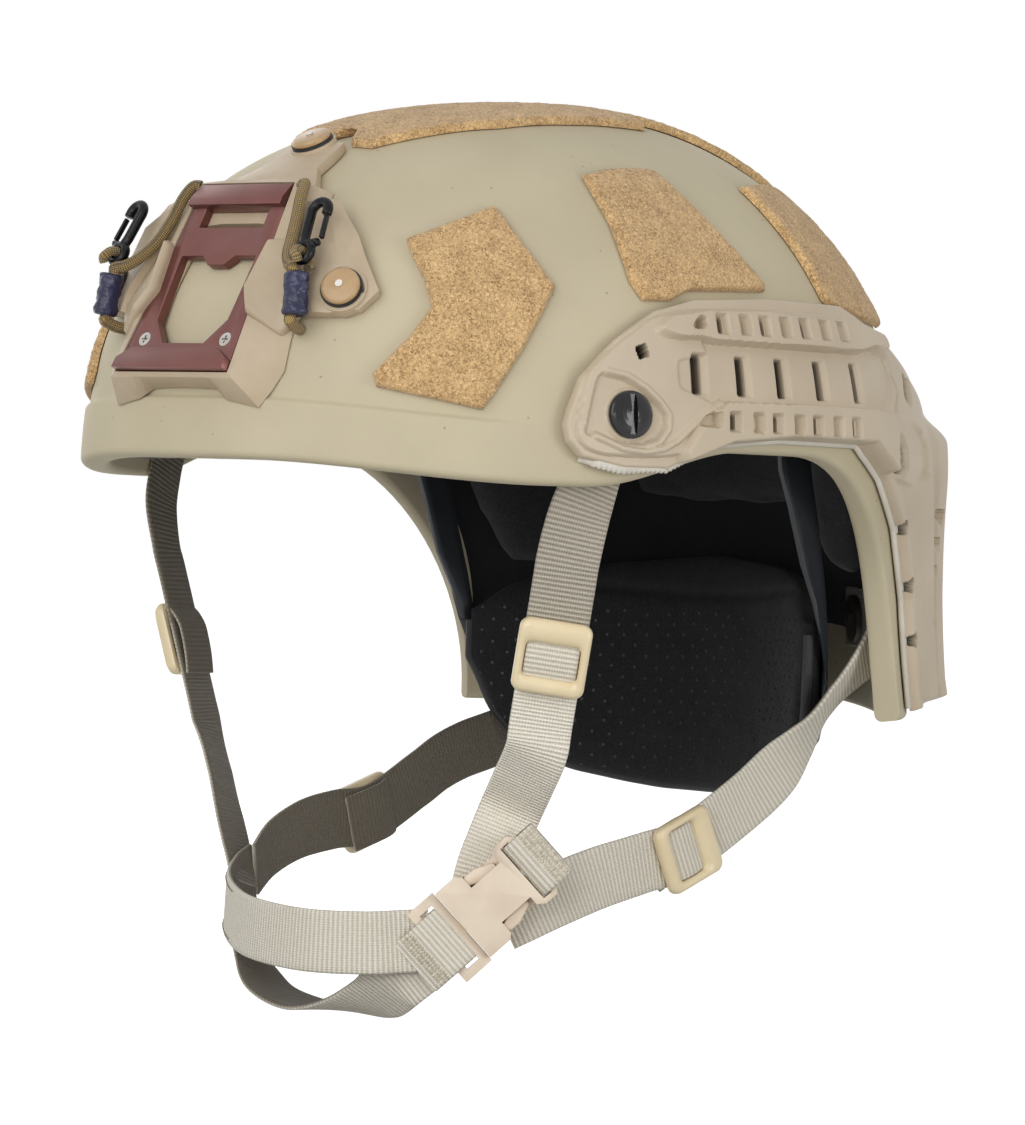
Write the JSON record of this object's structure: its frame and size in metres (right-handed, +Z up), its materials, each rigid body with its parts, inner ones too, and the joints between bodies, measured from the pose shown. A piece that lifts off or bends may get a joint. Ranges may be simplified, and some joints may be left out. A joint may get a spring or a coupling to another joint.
{
  "type": "combat helmet",
  "caption": "Hard shell helmet with side accessory rails, a front mounting shroud, loop panels, inner pads, a dial fit cradle and a webbing chin strap with side release buckle.",
  "frame": {"origin": "middle of the shell's length and width, on the level of the brim's front edge, inside the head cavity", "axes": "-Y to the front, +X to the wearer's left, +Z up to the crown"},
  "size_m": [0.2442, 0.2852, 0.29],
  "materials": {
    "shell_paint": "matt tan paint with fine texture on a moulded fibre shell",
    "rail_plastic": "satin moulded tan",
    "rail_pad": "soft ribbed strip",
    "loop_fabric": "napped loop",
    "shroud_plastic": "satin moulded tan",
    "shroud_insert": "copper brown anodised",
    "screw_steel": "bright",
    "tan_screw": "satin",
    "black_metal": "glossy black",
    "washer": "matt",
    "elastic_cord": "woven",
    "shrink_sleeve": "glossy wrinkled",
    "clip_plastic": "glossy",
    "pad_fabric": "felted black",
    "mesh_fabric": "spacer mesh",
    "fit_plastic": "satin dark grey",
    "pivot_pin": "satin orange brown",
    "pinion": "satin",
    "webbing": "ribbed weave",
    "slider_plastic": "smooth moulded",
    "buckle_plastic": "satin moulded"
  },
  "bodies": {
    "helmet": {"shell": "shell_paint", "rail_left": "rail_plastic", "rail_right": "rail_plastic", "rail_pad_left": "rail_pad", "rail_pad_right": "rail_pad", "rail_bolts": "black_metal", "rail_nuts": "black_metal", "loop_front_left": "loop_fabric", "loop_side_left": "loop_fabric", "loop_rear_left": "loop_fabric", "loop_front_right": "loop_fabric", "loop_side_right": "loop_fabric", "loop_rear_right": "loop_fabric", "loop_crown": "loop_fabric", "loop_crown_rear": "loop_fabric", "shroud_base": "shroud_plastic", "shroud_insert": "shroud_insert", "insert_screws": "screw_steel", "shroud_screws": "tan_screw", "shroud_washers": "washer", "shroud_nuts": "black_metal", "bungee_left": "elastic_cord", "bungee_sleeve_left": "shrink_sleeve", "bungee_right": "elastic_cord", "bungee_sleeve_right": "shrink_sleeve", "hook_patches": "pad_fabric", "front_pad": "pad_fabric", "crown_pad": "pad_fabric", "side_pad_left": "pad_fabric", "side_pad_right": "pad_fabric", "rear_side_pad_left": "pad_fabric", "rear_side_pad_right": "pad_fabric", "rear_pad": "pad_fabric", "cradle_hangers": "fit_plastic", "cradle_pins": "pivot_pin", "strap_front_left": "webbing", "strap_rear_left": "webbing", "strap_front_right": "webbing", "strap_rear_right": "webbing", "chin_band": "webbing", "chin_band_lower": "webbing", "buckle_loop": "webbing", "buckle_socket": "buckle_plastic"},
    "cradle": {"cradle_yoke": "fit_plastic", "nape_pad": "mesh_fabric", "dial_housing": "fit_plastic"},
    "dial": {"dial_knob": "fit_plastic", "dial_pinion": "pinion"},
    "slider_front_left": {"slider_front_left": "slider_plastic"},
    "slider_front_right": {"slider_front_right": "slider_plastic"},
    "slider_rear_left": {"slider_rear_left": "slider_plastic"},
    "slider_rear_right": {"slider_rear_right": "slider_plastic"},
    "plug": {"buckle_plug": "buckle_plastic"},
    "prong_upper": {"buckle_prong_upper": "buckle_plastic"},
    "prong_lower": {"buckle_prong_lower": "buckle_plastic"},
    "clip_left": {"clip_left": "clip_plastic"},
    "clip_right": {"clip_right": "clip_plastic"},
    "gate_left": {"clip_gate_left": "clip_plastic"},
    "gate_right": {"clip_gate_right": "clip_plastic"}
  },
  "joints": [
    {"name": "cradle_swing", "type": "hinge", "parent": "helmet", "child": "cradle", "pos_m": [0, 0.044, 0.02], "axis": [-1, 0, 0], "range_deg": [0, 6]},
    {"name": "dial_turn", "type": "hinge", "parent": "cradle", "child": "dial", "pos_m": [0, 0.108, -0.079], "axis": [0, 1, 0], "range_deg": [0, 270]},
    {"name": "slider_front_left_slide", "type": "slide", "parent": "helmet", "child": "slider_front_left", "axis": [-0.2701, 0.0982, -0.9578], "range_m": [-0.008, 0.008]},
    {"name": "slider_rear_left_slide", "type": "slide", "parent": "helmet", "child": "slider_rear_left", "axis": [-0.077, -0.9097, -0.4082], "range_m": [-0.004, 0]},
    {"name": "slider_front_right_slide", "type": "slide", "parent": "helmet", "child": "slider_front_right", "axis": [0.2701, 0.0982, -0.9578], "range_m": [-0.008, 0.008]},
    {"name": "slider_rear_right_slide", "type": "slide", "parent": "helmet", "child": "slider_rear_right", "axis": [0.0723, -0.9641, -0.2555], "range_m": [-0.004, 0]},
    {"name": "plug_release", "type": "slide", "parent": "helmet", "child": "plug", "axis": [-0.514, -0.511, -0.689], "range_m": [0, 0.018], "deforming": ["chin_band", "chin_band_lower"]},
    {"name": "prong_upper_squeeze", "type": "hinge", "parent": "plug", "child": "prong_upper", "pos_m": [0.04725, -0.06834, -0.13138], "axis": [-0.7036, 0.7106, -0.0021], "range_deg": [0, 8], "stiffness_Nm_per_rad": 0.5},
    {"name": "prong_lower_squeeze", "type": "hinge", "parent": "plug", "child": "prong_lower", "pos_m": [0.05613, -0.05959, -0.14449], "axis": [0.7036, -0.7106, 0.0021], "range_deg": [0, 8], "stiffness_Nm_per_rad": 0.5},
    {"name": "clip_left_sway", "type": "hinge", "parent": "helmet", "child": "clip_left", "pos_m": [0.0406, -0.1292, 0.0612], "axis": [0.1046, -0.8849, 0.4538], "range_deg": [-4, 4]},
    {"name": "clip_gate_left_snap", "type": "hinge", "parent": "clip_left", "child": "gate_left", "pos_m": [0.04532, -0.12641, 0.06555], "axis": [0.1046, -0.8849, 0.4538], "range_deg": [0, 25], "stiffness_Nm_per_rad": 0.002},
    {"name": "clip_right_sway", "type": "hinge", "parent": "helmet", "child": "clip_right", "pos_m": [-0.0406, -0.1292, 0.0612], "axis": [0.1046, 0.8849, -0.4538], "range_deg": [-4, 4]},
    {"name": "clip_gate_right_snap", "type": "hinge", "parent": "clip_right", "child": "gate_right", "pos_m": [-0.04532, -0.12641, 0.06555], "axis": [0.1046, 0.8849, -0.4538], "range_deg": [0, 25], "stiffness_Nm_per_rad": 0.002}
  ],
  "couplings": [
    {"joint": "dial_turn", "follows": "cradle_swing", "ratio": 45}
  ]
}
